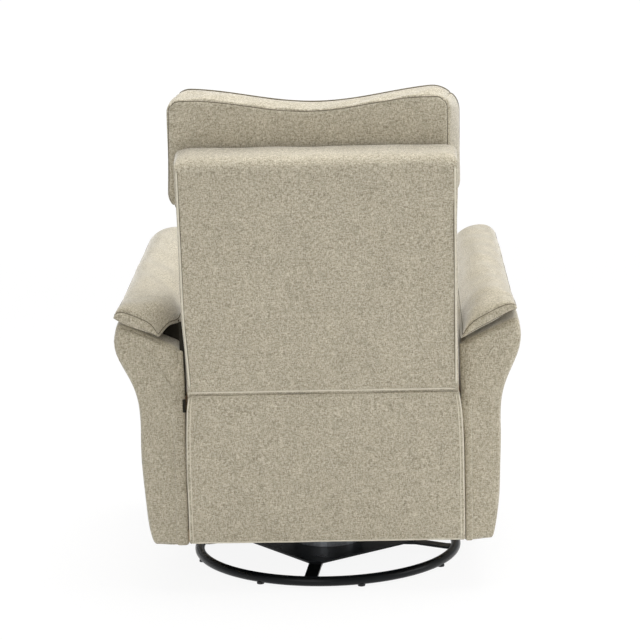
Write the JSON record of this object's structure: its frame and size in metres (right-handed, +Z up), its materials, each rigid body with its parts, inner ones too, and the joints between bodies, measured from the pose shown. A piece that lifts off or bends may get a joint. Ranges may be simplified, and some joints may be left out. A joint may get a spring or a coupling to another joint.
{
  "type": "swivel glider recliner",
  "caption": "Padded armchair on a round floor ring: it swivels, glides on hanging links, reclines and unfolds a footrest.",
  "frame": {"origin": "on the floor, under the middle of the bounding box and on the swivel axis", "axes": "+Z up, -Y the way the sitter looks, +X towards the left arm of the sitter"},
  "size_m": [0.838, 0.8852, 1.0596],
  "materials": {
    "fabric": "heathered chenille weave",
    "black_steel": "satin powder coat",
    "zinc_steel": "bright zinc plate",
    "spring_steel": "drawn spring wire",
    "wood": "raw birch plywood",
    "plastic": "fine grain"
  },
  "bodies": {
    "base": {"base_ring": "black_steel", "base_cross": "black_steel", "base_plate": "black_steel", "bearing_lower_race": "zinc_steel", "bearing_cage": "zinc_steel", "swivel_bolt": "zinc_steel", "swivel_nut": "zinc_steel"},
    "swivel": {"bearing_upper_race": "zinc_steel", "swivel_plate": "black_steel", "stand_channel_front": "black_steel", "stand_channel_rear": "black_steel", "glider_stand_left": "black_steel", "glider_stand_right": "black_steel"},
    "glide_front": {"glide_link_front_left": "black_steel", "glide_link_front_right": "black_steel"},
    "glide_rear": {"glide_link_rear_left": "black_steel", "glide_link_rear_right": "black_steel"},
    "carriage": {"carriage_rail_left": "black_steel", "carriage_rail_right": "black_steel", "cross_rail_front": "black_steel", "cross_rail_rear": "black_steel", "side_plate_left": "black_steel", "side_plate_right": "black_steel", "seat_side_rail_left": "wood", "seat_side_rail_right": "wood", "seat_front_rail": "wood", "seat_rear_rail": "wood", "rear_stretcher": "wood", "seat_springs": "spring_steel", "seat_cushion": "fabric", "arm_board_left": "wood", "arm_board_right": "wood", "arm_left": "fabric", "arm_right": "fabric", "arm_pad_left": "fabric", "arm_pad_right": "fabric", "rear_skirt": "fabric", "release_housing": "plastic"},
    "back": {"back_shell": "fabric", "back_post_left": "wood", "back_post_right": "wood", "back_rail_lower": "wood", "back_rail_upper": "wood", "back_springs": "spring_steel", "hinge_bracket_left": "black_steel", "hinge_bracket_right": "black_steel", "lumbar_cushion": "fabric", "head_cushion": "fabric"},
    "footrest_drive": {"footrest_drive_frame": "black_steel"},
    "footrest_guide": {"footrest_guide_link_left": "black_steel", "footrest_guide_link_right": "black_steel"},
    "footrest_front": {"footrest_front_link_left": "black_steel", "footrest_front_link_right": "black_steel"},
    "footrest_tilt": {"footrest_tilt_link_left": "black_steel", "footrest_tilt_link_right": "black_steel"},
    "footrest_board": {"footrest_board": "wood", "footrest_bracket_left": "black_steel", "footrest_bracket_right": "black_steel", "footrest_pad": "fabric"},
    "release": {"release_pull": "plastic"}
  },
  "joints": [
    {"name": "swivel", "type": "hinge", "parent": "base", "child": "swivel", "pos_m": [0, 0, 0.045], "axis": [0, 0, 1], "continuous": true},
    {"name": "glide", "type": "hinge", "parent": "swivel", "child": "glide_front", "pos_m": [0, -0.15, 0.2], "axis": [1, 0, 0], "range_deg": [-25, 25]},
    {"name": "glide_rear_link", "type": "hinge", "parent": "swivel", "child": "glide_rear", "pos_m": [0, 0.15, 0.2], "axis": [1, 0, 0], "range_deg": [-25, 25]},
    {"name": "glide_carriage", "type": "hinge", "parent": "glide_front", "child": "carriage", "pos_m": [0, -0.15, 0.11], "axis": [1, 0, 0], "range_deg": [-25, 25]},
    {"name": "recline", "type": "hinge", "parent": "carriage", "child": "back", "pos_m": [0, 0.324, 0.452], "axis": [-1, 0, 0], "range_deg": [0, 35]},
    {"name": "footrest", "type": "hinge", "parent": "carriage", "child": "footrest_drive", "pos_m": [0, -0.348, 0.362], "axis": [-1, 0, 0], "range_deg": [0, 90]},
    {"name": "footrest_guide_swing", "type": "hinge", "parent": "carriage", "child": "footrest_guide", "pos_m": [0, -0.296, 0.348], "axis": [-1, 0, 0], "range_deg": [0, 90]},
    {"name": "footrest_knee", "type": "hinge", "parent": "footrest_drive", "child": "footrest_front", "pos_m": [0, -0.223, 0.222], "axis": [-1, 0, 0], "range_deg": [-90, 0]},
    {"name": "footrest_tilt_swing", "type": "hinge", "parent": "footrest_drive", "child": "footrest_tilt", "pos_m": [0, -0.209, 0.174], "axis": [-1, 0, 0], "range_deg": [-90, 0]},
    {"name": "footrest_board_turn", "type": "hinge", "parent": "footrest_front", "child": "footrest_board", "pos_m": [0, -0.386, 0.35], "axis": [-1, 0, 0], "range_deg": [0, 90]},
    {"name": "release", "type": "slide", "parent": "carriage", "child": "release", "axis": [0, 0, 1], "range_m": [0, 0.015], "stiffness_N_per_m": 400}
  ],
  "couplings": [
    {"joint": "glide_rear_link", "follows": "glide", "ratio": 1},
    {"joint": "glide_carriage", "follows": "glide", "ratio": -1},
    {"joint": "footrest_guide_swing", "follows": "footrest", "ratio": 1},
    {"joint": "footrest_knee", "follows": "footrest", "ratio": -1},
    {"joint": "footrest_tilt_swing", "follows": "footrest", "ratio": -1},
    {"joint": "footrest_board_turn", "follows": "footrest", "ratio": 1}
  ]
}
